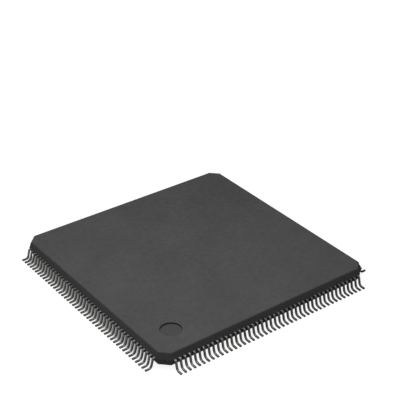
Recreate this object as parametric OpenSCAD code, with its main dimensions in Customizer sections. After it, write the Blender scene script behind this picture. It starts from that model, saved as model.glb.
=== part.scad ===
// Quad flat pack, fine-pitch, gull-wing leads on all four sides.
// Millimetres. The origin is on the seating plane, under the middle of the body, with +Z up.
// Pin 1 is at the -X end of the -Y side, next to the dimple, and the pins count anticlockwise from above.

/* [Body] */
// Width of the body at the parting line
body_w = 24; // [23.8:0.1:28]
// Thickness of the moulding
body_t = 1.4; // [1.3:0.05:1.6]
// Gap between the underside and the seating plane
standoff = 0.3; // [0.05:0.01:0.35]
// Draft of the walls, in degrees from upright
draft = 18; // [8:1:20]
// Length of the cut at each corner, along the side
corner_cut = 0.95; // [0.6:0.05:1]
// Radius along the top and bottom edges
edge_r = 0.16; // [0.05:0.01:0.2]

/* [Pin 1 dimple] */
// Radius of the dimple at its rim
dimple_r = 1.0; // [0.6:0.05:1.2]
// Depth of the dimple
dimple_depth = 0.12; // [0.05:0.01:0.15]
// Distance from each side of the body to the middle of the dimple
dimple_inset = 3.0; // [2.5:0.1:4]

/* [Leads outside the body] */
// Leads on each side
leads_per_side = 44; // [32:1:44]
// Distance from one lead to the next
pitch = 0.5; // [0.4:0.01:0.5]
// Width of a lead
lead_w = 0.2; // [0.17:0.01:0.27]
// Thickness of the lead metal
lead_t = 0.145; // [0.1:0.005:0.16]
// Distance from the side of the body to the tips of the leads
lead_length = 1.0; // [0.9:0.01:1.2]
// Flat length of the shoulder before the first bend
shoulder = 0.05; // [0.03:0.01:0.16]
// Inside radius of the bend at the shoulder
shoulder_bend_r = 0.08; // [0.06:0.01:0.15]
// Inside radius of the bend at the heel
heel_bend_r = 0.28; // [0.1:0.01:0.3]
// Lean of the leg, in degrees from upright
leg_lean = 13; // [8:1:18]

/* [Leads inside the body] */
// Length of the straight stretch behind the wall
grip_length = 0.5; // [0.3:0.05:0.6]
// Distance from the middle of the body to the bonding tips
tip_ring = 6.5; // [6.3:0.05:7]
// Distance from one bonding tip to the next
tip_pitch = 0.27; // [0.24:0.005:0.28]
// Width of a bonding tip
tip_w = 0.13; // [0.1:0.01:0.15]
// Length of the straight stretch at the bonding tip
tip_length = 0.6; // [0.4:0.05:0.8]

/* [Die pad] */
// Width of the die pad
pad_w = 10.8; // [10:0.1:11.4]
// Distance that the pad is set down below the leads
pad_drop = 0.22; // [0.15:0.01:0.25]
// Width of a tie bar
tie_bar_w = 0.4; // [0.2:0.02:0.44]
// Run of the tie bar's slope up from the pad
slope_run = 0.5; // [0.3:0.05:0.8]
// Length of the tie bar that is one with the pad's corner
tie_bar_root = 0.6; // [0.4:0.1:1]

/* [Lead lock tape] */
// Distance from the middle of the body to the tape's inner edge
tape_inner = 7.8; // [7.6:0.1:8.2]
// Width of the tape
tape_w = 1.0; // [0.6:0.1:1.4]
// Thickness of the tape
tape_t = 0.06; // [0.04:0.01:0.08]

/* [Die] */
// Width of the die
die_w = 9; // [8:0.1:9.6]
// Thickness of the die
die_t = 0.28; // [0.2:0.01:0.3]
// Thickness of the adhesive under the die
attach_t = 0.025; // [0.02:0.005:0.04]
// Margin of adhesive that shows round the die
attach_margin = 0.15; // [0.1:0.01:0.3]

/* [Bond wires] */
// Thickness of a bond wire
wire_d = 0.025; // [0.02:0.001:0.03]
// Height of the wire loop above the die
loop_height = 0.18; // [0.12:0.01:0.22]
// Distance from the die's edge to the row of bonds on it
bond_inset = 0.12; // [0.08:0.01:0.2]
// Distance from the die's corner to the first bond
bond_corner = 0.4; // [0.3:0.02:0.6]
// Distance from a lead's inner end to the bond on it
tip_bond = 0.2; // [0.1:0.01:0.3]
// Length of wire that lies flat on the lead
bond_length = 0.08; // [0.04:0.01:0.1]

/* [Hidden] */
half = body_w / 2;
half_t = body_t / 2;
half_pad = pad_w / 2;
half_die = die_w / 2;
half_attach = half_die + attach_margin;
lead_plane = standoff + half_t;
body_top = standoff + body_t;
lead_under = lead_plane - lead_t / 2;
lead_over = lead_plane + lead_t / 2;
pad_over = lead_over - pad_drop;
pad_under = pad_over - lead_t;
die_under = pad_over + attach_t;
die_over = die_under + die_t;
// Distance from the middle of the body to a cut corner's face, and to a corner of the die pad
cut_reach = sqrt(2) * (half - corner_cut / 2);
pad_corner = sqrt(2) * half_pad;
// Where the inner leads start to fan in, and where they run straight again
fan_start = half - grip_length;
fan_end = tip_ring + tip_length;
// Angle that the lead turns through at each bend
turn = 90 - leg_lean;
// Bonds on the die and on the leads
bond_pitch = (die_w - 2 * bond_corner) / (leads_per_side - 1);
die_bond_row = half_die - bond_inset;
tip_bond_row = tip_ring + tip_bond;
// How far a cutting shape runs past the surface that it cuts
past = 0.05;
dimple_fn = 64;
edge_steps = 4;
bend_steps = 4;
SIDES = [0, 90, 180, 270];
CORNERS = [45, 135, 225, 315];

function reversed(points) = [for (i = [len(points) - 1:-1:0]) points[i]];

function scaled(points, x, y) = [for (p = points) [p[0] * x, p[1] * y]];

// Points round c at radius r, from angle a0 to angle a1.
function arc_points(c, r, a0, a1, steps) =
    [for (i = [0:steps]) let (a = a0 + (a1 - a0) * i / steps) c + r * [cos(a), sin(a)]];

// Offset of lead i from the middle of its row, at a given distance from one lead to the next.
function in_row(i, step) = (i - (leads_per_side - 1) / 2) * step;

// Section of the moulding above the parting line, on one side: from the wall, which stands at reach and
// leans in by the draft, round the edge to the flat face.
function section_quarter(reach) =
    let (c = [reach - (edge_r + (half_t - edge_r) * sin(draft)) / cos(draft), half_t - edge_r])
    arc_points(c, edge_r, draft, 90, edge_steps);

// The whole section: the quarter, mirrored about the upright middle line and about the parting line.
function section(reach) =
    let (q = section_quarter(reach),
         upper = concat([[reach, 0]], q, reversed(scaled(q, -1, 1)), [[-reach, 0]]),
         lower = concat(scaled(q, -1, -1), reversed(scaled(q, 1, -1))))
    concat(upper, lower);

// Outline of a strip of the given width along a path, mitred at the path's corners.
function strip(path, width) =
    let (last = len(path) - 1,
         way = [for (i = [0:last - 1]) let (d = path[i + 1] - path[i]) d / norm(d)],
         off = [for (i = [0:last])
             let (a = way[max(i - 1, 0)], b = way[min(i, last - 1)], m = a + b)
             [-m[1], m[0]] * width / (m * m)])
    concat([for (i = [0:last]) path[i] + off[i]], reversed([for (i = [0:last]) path[i] - off[i]]));

// One slab of the moulding's section, long enough to pass right through the body.
module section_slab(reach, angle) {
    translate([0, 0, lead_plane])
        rotate([90, 0, angle])
            linear_extrude(2 * body_w, center = true)
                polygon(section(reach));
}

// The moulding before anything is taken out of it: the same section pulled along the two sides and along
// the two diagonals, and what all four have in common.
module moulding_blank() {
    intersection() {
        section_slab(half, 0);
        section_slab(half, 90);
        section_slab(cut_reach, 45);
        section_slab(cut_reach, 135);
    }
}

// Pin 1 mark: a shallow round recess in the top.
module dimple() {
    translate([-half + dimple_inset, -half + dimple_inset, body_top - dimple_depth])
        cylinder(h = dimple_depth + past, r = dimple_r, $fn = dimple_fn);
}

// Plan of one lead inside the body, from the line "outer" in to the bonding tip.
module inner_lead_plan(i, outer) {
    x_wall = in_row(i, pitch);
    x_tip = in_row(i, tip_pitch);
    left = [[x_wall - lead_w / 2, -outer], [x_wall - lead_w / 2, -fan_start],
            [x_tip - tip_w / 2, -fan_end], [x_tip - tip_w / 2, -tip_ring]];
    right = [[x_wall + lead_w / 2, -outer], [x_wall + lead_w / 2, -fan_start],
             [x_tip + tip_w / 2, -fan_end], [x_tip + tip_w / 2, -tip_ring]];
    polygon(concat(left, reversed(right)));
}

// Middle line of the lead metal, as distance from the wall and height: the stretch gripped by the moulding,
// the shoulder, its bend, the leg, the heel bend and the flat foot.
function gull_wing_path() =
    let (shoulder_mid = shoulder_bend_r + lead_t / 2,
         heel_mid = heel_bend_r + lead_t / 2,
         shoulder_centre = [shoulder, lead_plane - shoulder_mid],
         leg_drop = lead_plane - lead_t / 2 - (shoulder_mid + heel_mid) * (1 - cos(turn)),
         heel_x = shoulder + (shoulder_mid + heel_mid) * sin(turn) + leg_drop / tan(turn),
         heel_centre = [heel_x, lead_t / 2 + heel_mid])
    concat([[-grip_length, lead_plane]],
           arc_points(shoulder_centre, shoulder_mid, 90, 90 - turn, bend_steps),
           arc_points(heel_centre, heel_mid, 270 - turn, 270, bend_steps),
           [[lead_length, lead_t / 2]]);

// One whole lead of the -Y row. Its two extrusions share the straight stretch that the moulding grips.
module lead(i) {
    translate([in_row(i, pitch), -half, 0])
        rotate([90, 0, -90])
            linear_extrude(lead_w, center = true)
                polygon(strip(gull_wing_path(), lead_t));
    translate([0, 0, lead_under])
        linear_extrude(lead_t)
            inner_lead_plan(i, half);
}

// One row of leads, turned to its side of the body.
module lead_row(side) {
    color([0.72, 0.72, 0.7])
        rotate([0, 0, SIDES[side]])
            for (i = [0:leads_per_side - 1])
                lead(i);
}

// Side view of a tie bar, as distance from the middle of the body and height.
module tie_bar_view(end) {
    slope_end = pad_corner + slope_run;
    polygon([[pad_corner - tie_bar_root, pad_under], [pad_corner, pad_under], [slope_end, lead_under],
             [end, lead_under], [end, lead_over], [slope_end, lead_over], [pad_corner, pad_over],
             [pad_corner - tie_bar_root, pad_over]]);
}

// The set-down pad and its four tie bars, one stamping. The bars run out to "end".
module pad_and_tie_bars(end) {
    translate([-half_pad, -half_pad, pad_under])
        cube([pad_w, pad_w, lead_t]);
    for (a = CORNERS)
        rotate([90, 0, a])
            linear_extrude(tie_bar_w, center = true)
                tie_bar_view(end);
}

module tape_ring() {
    outer = tape_inner + tape_w;
    translate([0, 0, lead_under - tape_t])
        linear_extrude(tape_t)
            difference() {
                square(2 * outer, center = true);
                square(2 * tape_inner, center = true);
            }
}

module attach_bed() {
    translate([-half_attach, -half_attach, pad_over])
        cube([2 * half_attach, 2 * half_attach, attach_t]);
}

module die_block() {
    translate([-half_die, -half_die, die_under])
        cube([die_w, die_w, die_t]);
}

// One wire of the -Y side: up from the die, over in a flat loop and down to lie on the bonding tip.
module wire(i) {
    from = [in_row(i, bond_pitch), -die_bond_row];
    to = [in_row(i, tip_pitch), -tip_bond_row];
    run = norm(to - from);
    top = die_over + loop_height;
    rest = lead_over + wire_d / 2;
    path = [[0, die_over], [0, top - loop_height / 4], [run * 0.04, top], [run * 0.5, top - loop_height / 4],
            [run - bond_length / 2, rest], [run + bond_length / 2, rest]];
    translate([from[0], from[1], 0])
        rotate([90, 0, atan2(to[1] - from[1], to[0] - from[0])])
            linear_extrude(wire_d, center = true)
                polygon(strip(path, wire_d));
}

module wire_row(side) {
    color([0.95, 0.78, 0.35])
        rotate([0, 0, SIDES[side]])
            for (i = [0:leads_per_side - 1])
                wire(i);
}

// Everything that the compound flows round.
module held_pieces() {
    translate([0, 0, lead_under])
        linear_extrude(lead_t)
            for (a = SIDES, i = [0:leads_per_side - 1])
                rotate(a)
                    inner_lead_plan(i, half + past);
    pad_and_tie_bars(cut_reach + past);
    tape_ring();
    attach_bed();
    die_block();
    for (a = SIDES, i = [0:leads_per_side - 1])
        rotate([0, 0, a])
            wire(i);
}

module moulded_body() {
    color([0.24, 0.24, 0.25])
        difference() {
            moulding_blank();
            dimple();
            held_pieces();
        }
}

module die_pad() {
    color([0.74, 0.5, 0.34])
        pad_and_tie_bars(cut_reach);
}

module lead_lock_tape() {
    color([0.8, 0.5, 0.15])
        tape_ring();
}

module die_attach() {
    color([0.75, 0.75, 0.72])
        attach_bed();
}

module die() {
    color([0.4, 0.43, 0.5])
        die_block();
}

moulded_body();
lead_row(0);  // leads_1_to_44
lead_row(1);  // leads_45_to_88
lead_row(2);  // leads_89_to_132
lead_row(3);  // leads_133_to_176
die_pad();
lead_lock_tape();
die_attach();
die();
wire_row(0);  // wires_1_to_44
wire_row(1);  // wires_45_to_88
wire_row(2);  // wires_89_to_132
wire_row(3);  // wires_133_to_176
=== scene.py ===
# %% [markdown]
# # A quad flat pack chip, seen close up
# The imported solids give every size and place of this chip: a moulded body 24 mm wide, 176 leads at a pitch
# of 0.5 mm, and the die, its pad, the tape and the bond wires sealed inside. This scene adds what solids
# can't carry: the soft stamped edges of the leads, the grain of the moulding, tin, copper, gold and silicon,
# and the light of a small studio. Everything is in metres, in the same frame as the solids.

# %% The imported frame
import bpy
import numpy as np
from mathutils import Matrix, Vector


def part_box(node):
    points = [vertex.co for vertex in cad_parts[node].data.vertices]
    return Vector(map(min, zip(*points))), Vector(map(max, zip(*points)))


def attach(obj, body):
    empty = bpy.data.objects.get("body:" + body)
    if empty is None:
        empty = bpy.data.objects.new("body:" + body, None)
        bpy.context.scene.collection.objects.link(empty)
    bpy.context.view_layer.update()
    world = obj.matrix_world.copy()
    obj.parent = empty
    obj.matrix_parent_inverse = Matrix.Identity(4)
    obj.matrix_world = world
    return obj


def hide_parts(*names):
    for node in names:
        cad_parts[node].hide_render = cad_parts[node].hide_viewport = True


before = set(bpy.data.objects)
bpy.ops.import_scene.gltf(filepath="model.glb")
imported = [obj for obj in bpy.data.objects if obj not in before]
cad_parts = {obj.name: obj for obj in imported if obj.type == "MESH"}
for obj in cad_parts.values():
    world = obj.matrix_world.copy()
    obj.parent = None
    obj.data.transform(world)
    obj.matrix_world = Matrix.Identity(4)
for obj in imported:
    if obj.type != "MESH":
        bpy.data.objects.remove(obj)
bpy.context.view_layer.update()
MM = 0.001

# %% [markdown]
# ## Camera
# The picture was taken from about a hand's width away, well above the table and turned towards the corner
# with the dimple. A camera can be placed by eye, but on an object this small a degree shows. The fit of the
# 88 lead tips in view gives the angles, the distance and the lens, so they are written here as they are.
# The distance matters as much as the angle: it makes the near leads look larger than the far ones.

# %% Camera
AZIMUTH = np.radians(-36.769)
ELEVATION = np.radians(30.229)
ROLL = np.radians(0.085)
DISTANCE = 122.259 * MM
TARGET = np.array([8.286, 9.890, 0.0]) * MM
FOCAL_LENGTH_IN_IMAGE_WIDTHS = 2.8225
SENSOR_WIDTH = 36.0
NEAREST_SEEN = 1 * MM
FARTHEST_SEEN = 10.0


def camera_axes():
    """Right, up and backward directions: back points from the target to the camera, right is level, and both
    right and up are then turned about back by the roll."""
    outward = np.array([np.sin(AZIMUTH), -np.cos(AZIMUTH), 0.0])
    back = outward * np.cos(ELEVATION) + np.array([0.0, 0.0, np.sin(ELEVATION)])
    level = np.array([np.cos(AZIMUTH), np.sin(AZIMUTH), 0.0])
    upright = np.cross(back, level)
    right = level * np.cos(ROLL) + upright * np.sin(ROLL)
    up = upright * np.cos(ROLL) - level * np.sin(ROLL)
    return right, up, back


def stand(thing, right, up, back, place):
    """Puts a camera or lamp at a place. Its own X, Y and Z axes point right, up and back."""
    matrix = np.eye(4)
    matrix[:3] = np.stack([right, up, back, place], axis=1)
    bpy.context.scene.collection.objects.link(thing)
    thing.matrix_world = Matrix(matrix.tolist())


right, up, back = camera_axes()
lens = bpy.data.cameras.new("camera")
lens.lens = FOCAL_LENGTH_IN_IMAGE_WIDTHS * SENSOR_WIDTH
lens.sensor_width = SENSOR_WIDTH
lens.clip_start = NEAREST_SEEN
lens.clip_end = FARTHEST_SEEN
camera = bpy.data.objects.new("camera", lens)
stand(camera, right, up, back, TARGET + back * DISTANCE)
bpy.context.scene.camera = camera
bpy.context.scene.view_settings.view_transform = "Standard"
print("camera at mm:", [round(x / MM, 2) for x in camera.location], "lens mm:", round(lens.lens, 2))

# %% [markdown]
# ## Shader maths
# A finish is a small sum: this noise times that mask, plus a base value. Node by node the sum is hard to
# read, so one small class wraps a socket and lets Python's own operators add the Math nodes. Any other node
# comes from one method, which sets the node's settings first and then its sockets, by value or by link.

# %% Shader maths
class Wire:
    """An output socket that takes part in arithmetic. Each operator adds one Math node and wires it up."""

    def __init__(self, socket):
        self.socket = socket

    def maths(self, operation, first, second):
        """Adds one Math node that works on two values or wires."""
        node = self.socket.id_data.nodes.new("ShaderNodeMath")
        node.operation = operation
        plug(node.inputs[0], first)
        plug(node.inputs[1], second)
        return Wire(node.outputs[0])

    def __add__(self, other):
        return self.maths("ADD", self, other)

    def __radd__(self, other):
        return self.maths("ADD", other, self)

    def __sub__(self, other):
        return self.maths("SUBTRACT", self, other)

    def __rsub__(self, other):
        return self.maths("SUBTRACT", other, self)

    def __mul__(self, other):
        return self.maths("MULTIPLY", self, other)

    def __rmul__(self, other):
        return self.maths("MULTIPLY", other, self)


def plug(socket, value):
    """Links a wire to an input socket, or sets the socket's own value."""
    if isinstance(value, Wire):
        socket.id_data.links.new(value.socket, socket)
    else:
        socket.default_value = value


class Finish:
    """The node tree of one material, or of the world."""

    def __init__(self, owner):
        self.owner = owner
        owner.use_nodes = True
        self.tree = owner.node_tree
        self.tree.nodes.clear()

    def add(self, kind, settings=None, sockets=None, out=0):
        """Adds a node: its settings, then its sockets, and returns the wire of one output."""
        node = self.tree.nodes.new(kind)
        for name, value in (settings or {}).items():
            if name == "stops":
                for element, (position, level) in zip(node.color_ramp.elements, value):
                    element.position = position
                    element.color = (level, level, level, 1.0)
            else:
                setattr(node, name, value)
        for name, value in (sockets or {}).items():
            plug(node.inputs[name], value)
        return Wire(node.outputs[out]) if len(node.outputs) else None

    def place(self):
        """Where a point of the object is, in metres, in the object's own frame."""
        return self.add("ShaderNodeTexCoord", out="Object")

    def grain(self, where, size, detail=3.0):
        """Soft noise from 0 to 1, with blotches of about the given size in metres."""
        sockets = {"Vector": where, "Scale": 1.0 / size, "Detail": detail}
        return self.add("ShaderNodeTexNoise", None, sockets, "Fac")

    def contrast(self, value, low, high):
        """Pulls a narrow band of a value, from low to high, out to the full range from 0 to 1."""
        return self.add("ShaderNodeValToRGB", {"stops": [(low, 0.0), (high, 1.0)]}, {"Fac": value})

    def blend(self, factor, first, second):
        """The first colour where the factor is 0, the second where it is 1. A Mix node has sockets for every
        kind of data: the colours' are inputs 0, 6 and 7 and output 2."""
        colours = {0: factor, 6: first, 7: second}
        return self.add("ShaderNodeMix", {"data_type": "RGBA"}, colours, 2)

    def rise(self, value, low, high, least=0.0, most=1.0):
        """Climbs smoothly from least to most while the value goes from low to high."""
        span = {"Value": value, "From Min": low, "From Max": high, "To Min": least, "To Max": most}
        return self.add("ShaderNodeMapRange", {"interpolation_type": "SMOOTHSTEP"}, span)

    def relief(self, height, depth, strength):
        """A bumped normal: the height runs from 0 to 1 and stands for the given depth in metres."""
        return self.add("ShaderNodeBump", None, {"Height": height, "Distance": depth, "Strength": strength})

    def mask(self, name):
        """A value that the mesh carries at its points or faces."""
        return self.add("ShaderNodeAttribute", {"attribute_name": name}, out="Fac")

    def surface(self, **sockets):
        """Ends the material in one Principled shader. Socket names use _ for a space."""
        named = {name.replace("_", " "): value for name, value in sockets.items()}
        shader = self.add("ShaderNodeBsdfPrincipled", None, named)
        self.add("ShaderNodeOutputMaterial", None, {"Surface": shader})
        return self.owner


def new_finish(name):
    """An empty finish on a new material."""
    return Finish(bpy.data.materials.new(name))


def grey(level):
    """A neutral colour."""
    return (level, level, level, 1.0)


print("shader helpers ready")

# %% [markdown]
# ## Moulding compound
# The body is epoxy filled with silica, pressed into a spark-eroded mould. The mould leaves a fine, even matte
# grain, a few hundredths of a millimetre across, and the filler gives the black a faint cloudiness. One flat
# black would look like a hole in the picture. Three sizes of noise are used instead: clouds of a few
# millimetres and flecks of under half a one in the colour, and the mould's grain in the bump. The dimple's
# floor is made by a polished pin, so it has less grain and is a little smoother. Its colour is also a little
# blacker than the top, which is painted shade in the recess. The walls and the dimple's inner wall are
# blacker still, and that is painted shade too, where less light falls than on the top. Two masks on the mesh
# say where wall and floor are.

# %% Moulding compound
CLOUD_SIZE = 3.5 * MM
FLECK_SIZE = 0.40 * MM
ERODED_SIZE = 0.045 * MM
ERODED_DEPTH = 0.004 * MM
COMPOUND_DARK = (0.039, 0.039, 0.0405, 1.0)
COMPOUND_PALE = (0.057, 0.057, 0.058, 1.0)
PAINTED_SHADE_BLACK = 0.028
FLOOR_PAINTED_SHADE = 0.55
COMPOUND_ROUGHNESS = 0.74


def moulding_compound():
    """Matte black epoxy with a spark-eroded grain."""
    f = new_finish("moulding_compound")
    where = f.place()
    clouds = f.contrast(f.grain(where, CLOUD_SIZE), 0.35, 0.65)
    flecks = f.contrast(f.grain(where, FLECK_SIZE), 0.30, 0.70)
    eroded = f.grain(where, ERODED_SIZE, 4.0)
    polish = f.mask("polish")
    wall = f.mask("wall")
    shade = f.blend(clouds * 0.4 + flecks * 0.6, COMPOUND_DARK, COMPOUND_PALE)
    # Painted shade: the walls and the dimple's inner wall take the darker black in full, the dimple's floor
    # in part.
    colour = f.blend(wall + polish * FLOOR_PAINTED_SHADE, shade, grey(PAINTED_SHADE_BLACK))
    rough = COMPOUND_ROUGHNESS + flecks * 0.08 - polish * 0.12
    normal = f.relief(eroded * (1.0 - polish * 0.7) + flecks * 0.4, ERODED_DEPTH, 0.55)
    return f.surface(Base_Color=colour, Roughness=rough, IOR=1.5, Normal=normal)


compound = moulding_compound()
print("finish:", compound.name, len(compound.node_tree.nodes), "nodes")

# %% [markdown]
# ## Tin plate and bare copper
# Outside the body the leads carry a satin skin of tin, a hundredth of a millimetre thick. It keeps faint
# lines along the lead from the strip's rolling, and the flanks, which the stamping tool sheared, are duller
# than the faces. Their colour is also painted much darker, a painted shade on the leads' sides. The very
# tips are cut after plating, so bare copper shows there and has tarnished nearly black, and inside the body
# the metal was never plated. The mesh carries masks for the flanks and for bare metal, and a tone for each
# lead, so that one finish covers the whole row.

# %% Tin plate
LINES_ACROSS_AND_ALONG = (60.0, 4.0, 1.0)
CRYSTAL_SIZE = 0.03 * MM
TIN_DARK = (0.25, 0.25, 0.245, 1.0)
TIN_PALE = (0.32, 0.32, 0.31, 1.0)
SHEARED_FLANK_SHADE = (0.07, 0.07, 0.068, 1.0)
TARNISH_DARK = (0.035, 0.025, 0.020, 1.0)
TARNISH_PALE = (0.07, 0.048, 0.038, 1.0)
TIN_ROUGHNESS = 0.38
TIN_RELIEF = 0.0015 * MM


def tin_plate():
    """Satin tin over copper alloy, with bare tarnished copper where the mesh says so."""
    f = new_finish("tin_plate")
    along = f.add("ShaderNodeUVMap", {"uv_map": "along_the_lead"})
    lines = f.add("ShaderNodeMapping", None, {"Vector": along, "Scale": LINES_ACROSS_AND_ALONG})
    rolled = f.add("ShaderNodeTexNoise", {"noise_dimensions": "2D"}, {"Vector": lines, "Scale": 1.0}, "Fac")
    crystals = f.grain(f.place(), CRYSTAL_SIZE, 4.0)
    flank = f.mask("flank")
    bare = f.mask("bare")
    tone = f.mask("tone")
    bright = f.blend(crystals * 0.4 + tone * 0.6, TIN_DARK, TIN_PALE)
    # Painted shade: the flanks' colour is made much darker than the faces', on top of their sheared
    # roughness.
    plated = f.blend(flank * 0.85, bright, SHEARED_FLANK_SHADE)
    tarnished = f.blend(crystals, TARNISH_DARK, TARNISH_PALE)
    colour = f.blend(bare, plated, tarnished)
    rough = TIN_ROUGHNESS + rolled * 0.10 + tone * 0.06 + flank * 0.10 + bare * 0.10
    normal = f.relief(rolled * 0.6 + crystals * 0.4, TIN_RELIEF, 0.5)
    return f.surface(Base_Color=colour, Metallic=1.0, Roughness=rough, Normal=normal)


tin = tin_plate()
print("finish:", tin.name, len(tin.node_tree.nodes), "nodes")

# %% [markdown]
# ## The sealed pieces
# Nothing of the inside shows until the body is taken away, but each piece still gets its own finish: the die
# pad is rolled copper alloy, the tape an amber film, the adhesive a grainy silver paste, the die polished
# silicon with the faint blocks of a circuit, and the wires are drawn gold. The tie bars' trimmed ends are the
# one place where the pad reaches the open air, at the four cut corners.

# %% Copper alloy
TIE_BAR_END = 16.3 * MM
COPPER_CLEAN = (0.62, 0.34, 0.20, 1.0)
COPPER_TARNISHED = (0.40, 0.22, 0.14, 1.0)
SMEARED_END = (0.040, 0.037, 0.034, 1.0)
STRIP_LINES = (1.0, 12.0, 12.0)


def copper_alloy():
    """Rolled copper alloy, with the strip's lines along one side and a slight tarnish. Past TIE_BAR_END from
    the middle it is the trimmed end of a tie bar, dull and smeared with compound."""
    f = new_finish("copper_alloy")
    where = f.place()
    strip = f.add("ShaderNodeMapping", None, {"Vector": where, "Scale": STRIP_LINES})
    rolled = f.grain(strip, 0.6 * MM)
    tarnish = f.contrast(f.grain(where, 1.8 * MM, 5.0), 0.4, 0.7)
    colour = f.blend(tarnish, COPPER_CLEAN, COPPER_TARNISHED)
    reach = f.add("ShaderNodeVectorMath", {"operation": "LENGTH"}, {0: where}, "Value")
    trimmed = f.add("ShaderNodeMath", {"operation": "GREATER_THAN"}, {0: reach, 1: TIE_BAR_END})
    smeared = f.blend(trimmed, colour, SMEARED_END)
    normal = f.relief(rolled, 0.002 * MM, 0.5)
    rough = 0.28 + rolled * 0.2 + trimmed * 0.25
    return f.surface(Base_Color=smeared, Metallic=1.0 - trimmed * 0.5, Roughness=rough, Normal=normal)


copper = copper_alloy()
print("finish:", copper.name, len(copper.node_tree.nodes), "nodes")

# %% Tape, adhesive, silicon and gold
AMBER_DARK = (0.50, 0.20, 0.03, 1.0)
AMBER_PALE = (0.62, 0.29, 0.06, 1.0)
SILICON_DARK = (0.07, 0.08, 0.11, 1.0)
SILICON_PALE = (0.20, 0.19, 0.24, 1.0)
GOLD_DARK = (0.83, 0.58, 0.20, 1.0)
GOLD_PALE = (0.92, 0.70, 0.30, 1.0)


def polyimide_film():
    """Smooth amber film with a slightly wavy surface."""
    f = new_finish("polyimide_film")
    waves = f.grain(f.place(), 0.8 * MM)
    colour = f.blend(waves, AMBER_DARK, AMBER_PALE)
    return f.surface(Base_Color=colour, Roughness=0.2 + waves * 0.1, Normal=f.relief(waves, 0.01 * MM, 0.4))


def silver_adhesive():
    """Cured paste full of silver flakes."""
    f = new_finish("silver_adhesive")
    flakes = f.contrast(f.grain(f.place(), 0.04 * MM, 2.0), 0.4, 0.6)
    colour = f.blend(flakes, grey(0.30), grey(0.62))
    return f.surface(Base_Color=colour, Metallic=flakes * 0.8, Roughness=0.6 - flakes * 0.2)


def silicon():
    """Polished silicon: blue-grey, with the faint rectangular blocks of a circuit."""
    f = new_finish("silicon")
    where = f.place()
    rows = f.add("ShaderNodeTexBrick", None, {
        "Vector": where, "Scale": 1.0, "Color1": grey(0.25), "Color2": grey(0.9), "Mortar": grey(0.0),
        "Brick Width": 0.9 * MM, "Row Height": 0.4 * MM, "Mortar Size": 0.03 * MM})
    cells = f.grain(where, 0.05 * MM, 1.0)
    block = f.add("ShaderNodeSeparateColor", None, {"Color": rows})
    colour = f.blend(block * 0.7 + cells * 0.3, SILICON_DARK, SILICON_PALE)
    return f.surface(Base_Color=colour, Metallic=0.4, Roughness=0.12 + cells * 0.1)


def gold_wire():
    """Bright drawn gold."""
    f = new_finish("gold_wire")
    drawn = f.grain(f.place(), 0.06 * MM)
    colour = f.blend(drawn, GOLD_DARK, GOLD_PALE)
    return f.surface(Base_Color=colour, Metallic=1.0, Roughness=0.18 + drawn * 0.12)


def dress(node, finish):
    """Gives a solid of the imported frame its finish, in its own material slot."""
    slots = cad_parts[node].data.materials
    slots.clear()
    slots.append(finish)


ROWS = ["1_to_44", "45_to_88", "89_to_132", "133_to_176"]
sealed = {"die_pad": copper, "lead_lock_tape": polyimide_film(), "die_attach": silver_adhesive(),
          "die": silicon()}
sealed.update(dict.fromkeys(["wires_" + row for row in ROWS], gold_wire()))
for node, finish in sealed.items():
    dress(node, finish)
print("dressed:", len(sealed), "sealed nodes")

# %% [markdown]
# ## One way to make a skin
# Both the body and the leads are skins: closed rings of points, laid one after another along a path or a
# section. A modifier could round the edges of the solids instead, but it would guess where each edge ends.
# Here the rings, and the direction that the surface faces at each of them, come from the same formula, so
# that flat faces stay flat in the light and only the true roundings shade round.

# %% Skin
def skin(name, rings, start, end, caps):
    """A mesh of closed tubes. rings is tubes x rings x points x 3. Each pair of neighbouring rings makes a
    band of four-sided faces, and start and end say where the surface faces at the band's first and last
    ring. caps has the facing directions of the first and the last ring's flat covers, one pair to a tube.
    The cross product of a face's two edges shows whether the faces run the wrong way round, and if the sum
    over all of them points against the facing directions, every face is turned over."""
    tubes, count, around = rings.shape[:3]
    index = np.arange(tubes * count * around).reshape(tubes, count, around)
    following = np.roll(index, -1, axis=2)
    quads = np.stack([index[:, :-1], following[:, :-1], following[:, 1:], index[:, 1:]], axis=-1)
    facing = np.stack([start, np.roll(start, -1, axis=2), np.roll(end, -1, axis=2), end], axis=-2)
    covers = np.stack([index[:, 0, ::-1], index[:, -1]], axis=1)
    cover_facing = np.broadcast_to(caps[:, :, None, :], (tubes, 2, around, 3))
    points = rings.reshape(-1, 3)
    a, b, c = (points[quads[..., corner]] for corner in (0, 1, 3))
    side = np.einsum("...i,...i", np.cross(b - a, c - a), facing[..., 0, :] + facing[..., 2, :]).sum()
    if side < 0:
        quads, facing = quads[..., ::-1], facing[..., ::-1, :]
        covers = covers[..., ::-1]
    loops = np.concatenate([quads.reshape(-1), covers.reshape(-1)])
    sizes = np.concatenate([np.full(quads[..., 0].size, 4), np.full(2 * tubes, around)])
    normals = np.concatenate([facing.reshape(-1, 3), cover_facing.reshape(-1, 3)])
    mesh = bpy.data.meshes.new(name)
    mesh.vertices.add(len(points))
    mesh.vertices.foreach_set("co", points.astype(np.float32).ravel())
    mesh.loops.add(len(loops))
    mesh.loops.foreach_set("vertex_index", loops.astype(np.int32))
    mesh.polygons.add(len(sizes))
    mesh.polygons.foreach_set("loop_start", (np.cumsum(sizes) - sizes).astype(np.int32))
    mesh.update(calc_edges=True)
    mesh.polygons.foreach_set("use_smooth", np.ones(len(sizes), bool))
    mesh.normals_split_custom_set(normals / np.linalg.norm(normals, axis=1, keepdims=True))
    piece = bpy.data.objects.new(name, mesh)
    bpy.context.scene.collection.objects.link(piece)
    return piece, loops


def paint(mesh, name, domain, values):
    """Stores a number at each point or face of a mesh, for a finish to read as a mask."""
    mesh.attributes.new(name, "FLOAT", domain).data.foreach_set("value", values.astype(np.float32).ravel())


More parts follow.
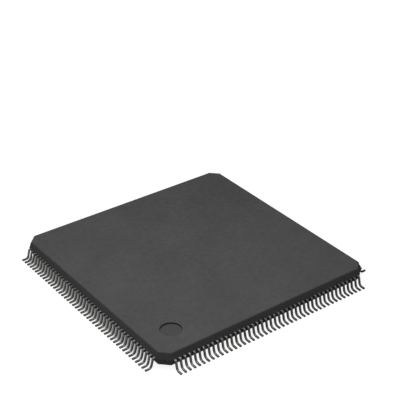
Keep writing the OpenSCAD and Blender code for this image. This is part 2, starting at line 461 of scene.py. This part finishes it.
def facing_in(level, angle):
    """Directions that lean from level directions towards straight up, by an angle in degrees."""
    angle = np.radians(angle)[..., None, None]
    upward = np.broadcast_to(np.sin(angle), level.shape[:-1] + (1,))
    return np.concatenate([level * np.cos(angle), upward], axis=-1)


print("skin helpers ready")

# %% [markdown]
# ## Moulded body
# The mould has two halves that meet at the height of the leads. From there both walls lean in by 18 degrees,
# so that the part drops out, and a small round ends them at the flat top and underside. Each of the four
# corners is cut, and the upright edges beside a cut are slightly round. In the top is the pin 1 mark, a
# round dimple with a soft rim. It goes down 0.19 mm here, a little deeper than in the solids, because its
# far wall throws that much dark in the picture. A fine fin of flash, a hundredth of a millimetre high, runs
# along the four sides where the mould halves meet.
# The body is one skin. Its rings start at the underside, climb the section to the top face, close in on the
# dimple, and end at its floor.

# %% Sizes of the body
low, high = (np.array(corner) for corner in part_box("moulded_body"))
HALF = high[0]
HALF_THICK = (high[2] - low[2]) / 2
PARTING = (high[2] + low[2]) / 2
DRAFT = 18.0
CORNER_CUT = 0.95 * MM
CUT_REACH = np.sqrt(2) * (HALF - CORNER_CUT / 2)
EDGE = 0.16 * MM
UPRIGHT_EDGE = 0.06 * MM
FLASH = 0.010 * MM
FLASH_ROOT = 2 * FLASH
FLASH_CREST = 0.6 * FLASH
DIMPLE_CENTRE = np.array([-HALF + 3.0 * MM, -HALF + 3.0 * MM])
DIMPLE_RADIUS = 1.0 * MM
DIMPLE_DEPTH = 0.19 * MM
DIMPLE_RIM = 0.05 * MM
DIMPLE_FILLET = 0.02 * MM
SIDE_STEPS = 44
CUT_STEPS = 2
EDGE_STEPS = 5
RIM_STEPS = 3
print("half width, half thickness and parting height, mm:",
      np.round([HALF / MM, HALF_THICK / MM, PARTING / MM], 3))


# %% Rings of the body
def outline(inset):
    """The body's outline seen from above, drawn in by each inset: rings x points x 2, with the level
    direction that each point faces. Eight straight faces, 45 degrees apart, meet in small arcs. An arc's
    centre is where two neighbouring faces, drawn in by the inset and the arc's radius, cross, and the arc
    has two points, at one and two thirds of its turn."""
    inset = np.asarray(inset, float)[:, None, None]
    turn = np.radians(45)
    points, level = [], []
    for face in range(8):
        normal = np.array([np.cos(face * turn), np.sin(face * turn)])
        tangent = np.array([-normal[1], normal[0]])
        reach, following = (HALF, CUT_REACH) if face % 2 == 0 else (CUT_REACH, HALF)
        reach, following = (r - inset - UPRIGHT_EDGE for r in (reach, following))
        along = (following - reach * np.cos(turn)) / np.sin(turn)
        first = normal * reach - tangent * along + normal * UPRIGHT_EDGE
        last = normal * reach + tangent * along + normal * UPRIGHT_EDGE
        steps = SIDE_STEPS if face % 2 == 0 else CUT_STEPS
        share = np.linspace(0, 1, steps + 1)[None, :, None]
        points.append(first + (last - first) * share)
        level.append(np.broadcast_to(normal, (len(share[0]), 2)))
        swing = face * turn + turn * np.array([1, 2]) / 3
        arc = np.stack([np.cos(swing), np.sin(swing)], axis=-1)
        points.append(last - normal * UPRIGHT_EDGE + arc[None] * UPRIGHT_EDGE)
        level.append(arc)
    return np.concatenate(points, axis=1), np.concatenate(level)


def round_off(centre_inset, centre_height, radius, angles):
    """Insets and heights round a centre, at angles in degrees from level outwards to straight up."""
    angles = np.radians(angles)
    return centre_inset - radius * np.cos(angles), centre_height + radius * np.sin(angles)


def body_section():
    """Insets, heights and facing angles of the body's rings from the underside to the top face. The walls
    lean by the draft, so the centre of the edge's round lies where it touches both wall and flat face."""
    lean = np.radians(DRAFT)
    bend = (EDGE + (HALF_THICK - EDGE) * np.sin(lean)) / np.cos(lean)
    angles = np.linspace(DRAFT, 90, EDGE_STEPS + 1)
    inset, height = round_off(bend, HALF_THICK - EDGE, EDGE, angles)
    fin = np.array([FLASH_ROOT, FLASH_CREST])
    inset = np.concatenate([inset[::-1], fin * np.tan(lean), (fin * np.tan(lean))[::-1], inset])
    height = np.concatenate([-height[::-1], -fin, fin[::-1], height])
    angles = np.concatenate([-angles[::-1], [-DRAFT, -DRAFT, DRAFT, DRAFT], angles])
    return inset, PARTING + height, angles


inset, height, angle = body_section()
edge_rings, edge_level = outline(inset)
print("rings up the section:", len(inset), "points round:", edge_rings.shape[1])


# %% Skin of the body
def body_skin():
    """Rings up the section, then rings round the dimple's centre on the same rays, down to the dimple's
    floor. The flash pushes the rings at its crest outwards, on the four sides only."""
    top = high[2]
    fin_rings = np.isclose(np.abs(height - PARTING), FLASH_CREST)
    side_points = np.isclose(np.abs(edge_level).max(axis=1), 1.0)
    rings = edge_rings.copy()
    rings += (fin_rings[:, None] * side_points[None, :] * FLASH)[..., None] * edge_level
    rays = edge_rings[-1] - DIMPLE_CENTRE
    rays /= np.linalg.norm(rays, axis=1, keepdims=True)
    rim = np.linspace(90, 180, RIM_STEPS + 1)
    fillet = np.linspace(180, 90, RIM_STEPS + 1)
    radius = np.concatenate([DIMPLE_RADIUS + DIMPLE_RIM + DIMPLE_RIM * np.cos(np.radians(rim)),
                             DIMPLE_RADIUS - DIMPLE_FILLET - DIMPLE_FILLET * np.cos(np.radians(fillet))])
    drop = np.concatenate([top - DIMPLE_RIM + DIMPLE_RIM * np.sin(np.radians(rim)),
                           top - DIMPLE_DEPTH + DIMPLE_FILLET * (1 - np.sin(np.radians(fillet)))])
    wells = DIMPLE_CENTRE + rays[None] * radius[:, None, None]
    flat = np.concatenate([rings, wells])
    level = np.concatenate([np.broadcast_to(edge_level, rings.shape), np.broadcast_to(rays, wells.shape)])
    heights = np.concatenate([height, drop])
    faces = np.concatenate([angle, rim, fillet])
    upright = np.broadcast_to(heights[:, None, None], flat.shape[:2] + (1,))
    points = np.concatenate([flat, upright], axis=-1)[None]
    facing = facing_in(level, faces)[None]
    caps = np.array([[[0.0, 0.0, -1.0], [0.0, 0.0, 1.0]]])
    piece, _ = skin("moulding", points, facing[:, :-1], facing[:, 1:], caps)
    polish = np.concatenate([np.zeros(len(height) + len(rim)), np.ones(len(fillet))])
    # Painted shade: the wall mask is 1 on the body's walls and the dimple's inner wall, 0 on the top, and the
    # finish blackens the colour there.
    painted_wall_shade = [np.clip((90 - np.abs(angle)) / (90 - DRAFT), 0, 1), rim > 90, fillet > 179]
    around = flat.shape[1]
    paint(piece.data, "polish", "POINT", np.repeat(polish, around))
    paint(piece.data, "wall", "POINT", np.repeat(np.concatenate(painted_wall_shade), around))
    piece.data.materials.append(compound)
    return piece


moulding = body_skin()
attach(moulding, "root")
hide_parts("moulded_body")
print("moulding:", len(moulding.data.polygons), "faces")

# %% [markdown]
# ## Leads
# Each lead is a strip 0.2 mm wide and 0.145 mm thick, bent twice like a gull's wing: out of the wall, down a
# leg that leans 13 degrees, and out again along the board as a flat foot. Stamping leaves its long edges
# slightly round. Behind the wall it runs on, unseen, and fans in to a bonding tip near the die.
# An eight-sided section is carried along that path. All 44 leads of a side are worked out as one array,
# because they differ only in where they stand, and each gets a hair's breadth of sideways lean at the foot
# and its own tone, as real rows never line up perfectly.

# %% Sizes of the leads
LEADS = 44
PITCH = 0.5 * MM
LEAD_WIDTH = 0.20 * MM
LEAD_THICK = 0.145 * MM
STAMPED_EDGE = 0.016 * MM
REACH = 1.0 * MM
SHOULDER = 0.05 * MM
SHOULDER_RADIUS = 0.08 * MM
HEEL_RADIUS = 0.28 * MM
LEAN = 13.0
TIP_CHAMFER = 0.008 * MM
INSIDE_THE_WALL = 0.03 * MM
GRIP = 0.5 * MM
FAN_END = 7.1 * MM
TIP_RING = 6.5 * MM
TIP_PITCH = 0.27 * MM
TIP_WIDTH = 0.13 * MM
INNER_STATIONS = 2
SKEW = 0.006 * MM
BEND_STEPS = 6
QUARTER_TURN = np.array([[0, -1, 0], [1, 0, 0], [0, 0, 1]])
DICE_SEED = 44
dice = np.random.default_rng(DICE_SEED)
print("leads on a side:", LEADS)


# %% Path of a lead
def gull_wing():
    """Distance out from the wall, height and facing angle of the upper side, station by station. The bends
    are arcs about a centre below the shoulder and one above the foot, and the straight leg joins them, so
    the heel's centre lies where both arcs and the leg have the same slope."""
    turn = np.radians(90 - LEAN)
    shoulder_arc = SHOULDER_RADIUS + LEAD_THICK / 2
    heel_arc = HEEL_RADIUS + LEAD_THICK / 2
    leg_drop = PARTING - LEAD_THICK / 2 - (shoulder_arc + heel_arc) * (1 - np.cos(turn))
    heel = SHOULDER + (shoulder_arc + heel_arc) * np.sin(turn) + leg_drop / np.tan(turn)
    down = np.linspace(90, LEAN, BEND_STEPS + 1)
    flat = np.linspace(LEAN, 90, BEND_STEPS + 1)
    out = np.concatenate([[TIP_RING - HALF, FAN_END - HALF, -GRIP, -INSIDE_THE_WALL],
                          SHOULDER + shoulder_arc * np.cos(np.radians(down)),
                          heel - heel_arc * np.cos(np.radians(flat)),
                          [REACH - TIP_CHAMFER, REACH]])
    tall = np.concatenate([[PARTING] * 4,
                           PARTING - shoulder_arc + shoulder_arc * np.sin(np.radians(down)),
                           LEAD_THICK / 2 + heel_arc - heel_arc * np.sin(np.radians(flat)),
                           [LEAD_THICK / 2] * 2])
    return out, tall, np.concatenate([[90.0] * 4, down, flat, [90.0] * 2])


out, tall, lift = gull_wing()
print("stations:", len(out), "foot starts", round(out[-3] / MM, 3), "mm from the wall")


# %% Skin of a row of leads
def lead_row(name, side):
    """One row. Each station's eight points lie across the lead and along its thickness direction, which leans
    with the path. The row is worked out on the -Y side and turned by a quarter turn to a side."""
    number = np.arange(LEADS) - (LEADS - 1) / 2
    stations = len(out)
    inner = np.arange(stations) < INNER_STATIONS
    centre = number[:, None] * np.where(inner, TIP_PITCH, PITCH)
    past_shoulder = np.clip((out - SHOULDER) / (REACH - SHOULDER), 0, 1)
    centre = centre + dice.normal(0, SKEW, LEADS)[:, None] * past_shoulder
    half = np.where(inner, TIP_WIDTH, LEAD_WIDTH) / 2
    thick = np.full(stations, LEAD_THICK / 2)
    half[-1] -= TIP_CHAMFER
    thick[-1] -= TIP_CHAMFER
    c = STAMPED_EDGE
    across = np.stack([half - c, half, half, half - c, c - half, -half, -half, c - half], axis=-1)
    over = np.stack([thick, thick - c, c - thick, -thick, -thick, c - thick, thick - c, thick], axis=-1)
    lean = np.radians(lift)[:, None]
    x = centre[:, :, None] + across
    y = np.broadcast_to(-(HALF + out[:, None] + over * np.cos(lean)), x.shape)
    z = np.broadcast_to(tall[:, None] + over * np.sin(lean), x.shape)
    rings = np.stack([x, y, z], axis=-1)
    faces_x = np.array([0.0, 1, 1, 0, 0, -1, -1, 0])
    faces_up = np.array([1.0, 0, 0, -1, -1, 0, 0, 1])
    faces_x = np.broadcast_to(faces_x, (stations, 8))
    facing = np.stack([faces_x, -faces_up * np.cos(lean), faces_up * np.sin(lean)], axis=-1)
    facing = np.broadcast_to(facing, rings.shape)
    caps = np.broadcast_to(np.array([[0.0, 1.0, 0.0], [0.0, -1.0, 0.0]]), (LEADS, 2, 3))
    spin = np.linalg.matrix_power(QUARTER_TURN, side).T
    piece, loops = skin(name, rings @ spin, facing[:, :-1] @ spin, facing[:, 1:] @ spin, caps @ spin)
    mark_lead(piece.data, loops, number, over, across)
    piece.data.materials.append(tin)
    return piece


def mark_lead(mesh, loops, number, over, across):
    """Masks and a map for the finish: 1 on the sheared flanks, 1 on bare faces, which are the bands inside
    the body and the covers, one random tone for each lead, and a map of millimetres across and along it."""
    flank = np.broadcast_to(np.array([0, 1, 1, 0, 0, 1, 1, 0]), (LEADS,) + across.shape)
    tone = np.broadcast_to(dice.random(LEADS)[:, None, None], flank.shape)
    bands = np.broadcast_to((out[1:] < 0)[None, :, None], (LEADS, len(out) - 1, 8))
    bare = np.concatenate([bands.ravel(), np.ones(2 * LEADS)])
    run = np.concatenate([[0.0], np.cumsum(np.hypot(np.diff(out), np.diff(tall)))])
    u = (number[:, None, None] * PITCH + across + over) / MM
    v = np.broadcast_to(run[:, None] / MM, u.shape)
    paint(mesh, "flank", "POINT", flank)
    paint(mesh, "tone", "POINT", tone)
    paint(mesh, "bare", "FACE", bare)
    layer = mesh.uv_layers.new(name="along_the_lead")
    layer.data.foreach_set("uv", np.stack([u, v], axis=-1).reshape(-1, 2)[loops].astype(np.float32).ravel())


for side, row in enumerate(ROWS):
    piece = lead_row("lead_row_" + row, side)
    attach(piece, "root")
    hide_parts("leads_" + row)
    print(piece.name, len(piece.data.polygons), "faces")

# %% [markdown]
# ## Table and light
# The chip lies on a pale table in front of white. The leads are small mirrors, so what stands around them
# matters more than how strong the lamps are: the metal sees a dim room, a little paler on the left, so that
# the leads look nearly as dark as the body. Most light falls from a soft box close above the left half,
# which leaves the near left of the top brightest, and a weak one in front lifts the near walls. To the
# camera the table glows as a light table does, which keeps it white and still lets the chip's soft shadow
# through, and a share of that glow reaches the undersides, like the light that white paper throws back.
# Under the left row little light gets in, so the gaps between those leads show a grey table. No lamp shades
# one side only, so the table's finish carries that shade.

# %% Table
TABLE_SIZE = 0.8
TABLE_DROP = 0.004 * MM
TABLE_DARK = 0.13
TABLE_PALE = 0.15
PAPER_GRAIN = 4 * MM
TABLE_GLOW = 0.90
FULL_GLOW = (25 * MM, 90 * MM)
TABLE_BOUNCE = 0.40
TABLE_IN_METAL = (12 * MM, 0.02, 0.38)
LIT_SIDE = (-0.66, 0.70, 0.27)
ROW_SHADE = 0.72
OUTER_FADE = (-HALF - 0.75 * MM, -HALF - 0.12 * MM)
INNER_FADE = (-HALF + 0.8 * MM, -HALF + 1.2 * MM)
FRONT_FADE = (-HALF + 0.8 * MM, -HALF + 6.5 * MM)
BEHIND_FADE = (HALF - 1.3 * MM, HALF - 0.9 * MM)


def lit_side(f, where, reach, least, most):
    """Rises smoothly from least on the unlit side to most on the lit side, as a place or direction agrees
    with LIT_SIDE. reach is the agreement, on both sides of zero, over which it rises."""
    agree = f.add("ShaderNodeVectorMath", {"operation": "DOT_PRODUCT"}, {0: where, 1: LIT_SIDE}, "Value")
    return f.rise(agree, -reach, reach, least, most)


def ray(f, kind):
    """1 for one kind of ray: Camera, Diffuse, Glossy or Transmission."""
    return f.add("ShaderNodeLightPath", out="Is " + kind + " Ray")


def under_the_left_row(f):
    """How little light reaches the table there: 0 outside the heels, 1 under the body's left edge. It fades
    towards the front corner, ends at the last lead behind, and has its inner end out of sight."""
    across = f.add("ShaderNodeSeparateXYZ", None, {"Vector": f.place()}, "X")
    along = f.add("ShaderNodeSeparateXYZ", None, {"Vector": f.place()}, "Y")
    outer = f.rise(across, *OUTER_FADE)
    inner = f.rise(across, *INNER_FADE)
    front = f.rise(along, *FRONT_FADE)
    behind = f.rise(along, *BEHIND_FADE)
    return outer * (1.0 - inner) * front * (1.0 - behind)


def table_top():
    """A flat matt sheet just under the feet, with a light table's glow. To the camera the glow is a little
    under white near the chip, where the light on the sheet adds the rest, and full farther away."""
    reach = TABLE_SIZE / 2
    corners = [(x * reach, y * reach, -TABLE_DROP) for x, y in [(-1, -1), (1, -1), (1, 1), (-1, 1)]]
    mesh = bpy.data.meshes.new("table")
    mesh.from_pydata(corners, [], [(0, 1, 2, 3)])
    table = bpy.data.objects.new("table", mesh)
    bpy.context.scene.collection.objects.link(table)
    f = new_finish("table")
    paper = f.grain(f.place(), PAPER_GRAIN)
    light = 1.0 - under_the_left_row(f) * ROW_SHADE
    colour = f.blend(paper, grey(TABLE_DARK), grey(TABLE_PALE))
    sheet = f.add("ShaderNodeBsdfDiffuse", None, {"Color": colour})
    distance = f.add("ShaderNodeVectorMath", {"operation": "LENGTH"}, {0: f.place()}, "Value")
    white = (ray(f, "Camera") + ray(f, "Transmission")) * f.rise(distance, *FULL_GLOW, TABLE_GLOW)
    shine = ray(f, "Glossy") * lit_side(f, f.place(), *TABLE_IN_METAL)
    strength = white * light + shine + ray(f, "Diffuse") * TABLE_BOUNCE
    glow = f.add("ShaderNodeEmission", None, {"Color": grey(1.0), "Strength": strength})
    both = f.add("ShaderNodeAddShader", None, {0: sheet, 1: glow})
    f.add("ShaderNodeOutputMaterial", None, {"Surface": both})
    mesh.materials.append(f.owner)


table_top()
print("table:", TABLE_SIZE, "m square")

# %% Room
ROOM_LEVEL = 0.20
ROOM_IN_METAL = (0.55, 0.065, 0.16)


def room():
    """The world: white to the camera, dim for the light that it gives, and for metal a room that is paler on
    the lit side and dark on the other, by how far a direction agrees with the lit side."""
    f = Finish(bpy.context.scene.world or bpy.data.worlds.new("room"))
    bpy.context.scene.world = f.owner
    direction = f.add("ShaderNodeTexCoord", out="Generated")
    white = ray(f, "Camera") + ray(f, "Transmission")
    mirrored = ray(f, "Glossy")
    seen_in_metal = mirrored * lit_side(f, direction, *ROOM_IN_METAL)
    level = white + seen_in_metal + (1.0 - white - mirrored) * ROOM_LEVEL
    sky = f.add("ShaderNodeBackground", None, {"Color": grey(1.0), "Strength": level})
    f.add("ShaderNodeOutputWorld", None, {"Surface": sky})


def lamp(name, direction, distance, size, watts):
    """A square soft box that looks at the middle of the chip from a direction."""
    light = bpy.data.lights.new(name, "AREA")
    light.size = size
    light.energy = watts
    box = bpy.data.objects.new(name, light)
    away = np.array(direction) / np.linalg.norm(direction)
    side = np.cross([0.0, 0.0, 1.0], away)
    side /= np.linalg.norm(side)
    stand(box, side, np.cross(away, side), away, away * distance)


room()
SOFT_BOXES = {
    "soft_box_close": {"direction": (-15, -5.5, 61), "distance": 0.063, "size": 0.04, "watts": 0.039},
    "soft_box_front": {"direction": (0.25, -0.75, 0.60), "distance": 0.45, "size": 0.35, "watts": 0.2}}
for name, values in SOFT_BOXES.items():
    lamp(name, **values)
print("lamps:", len(SOFT_BOXES))
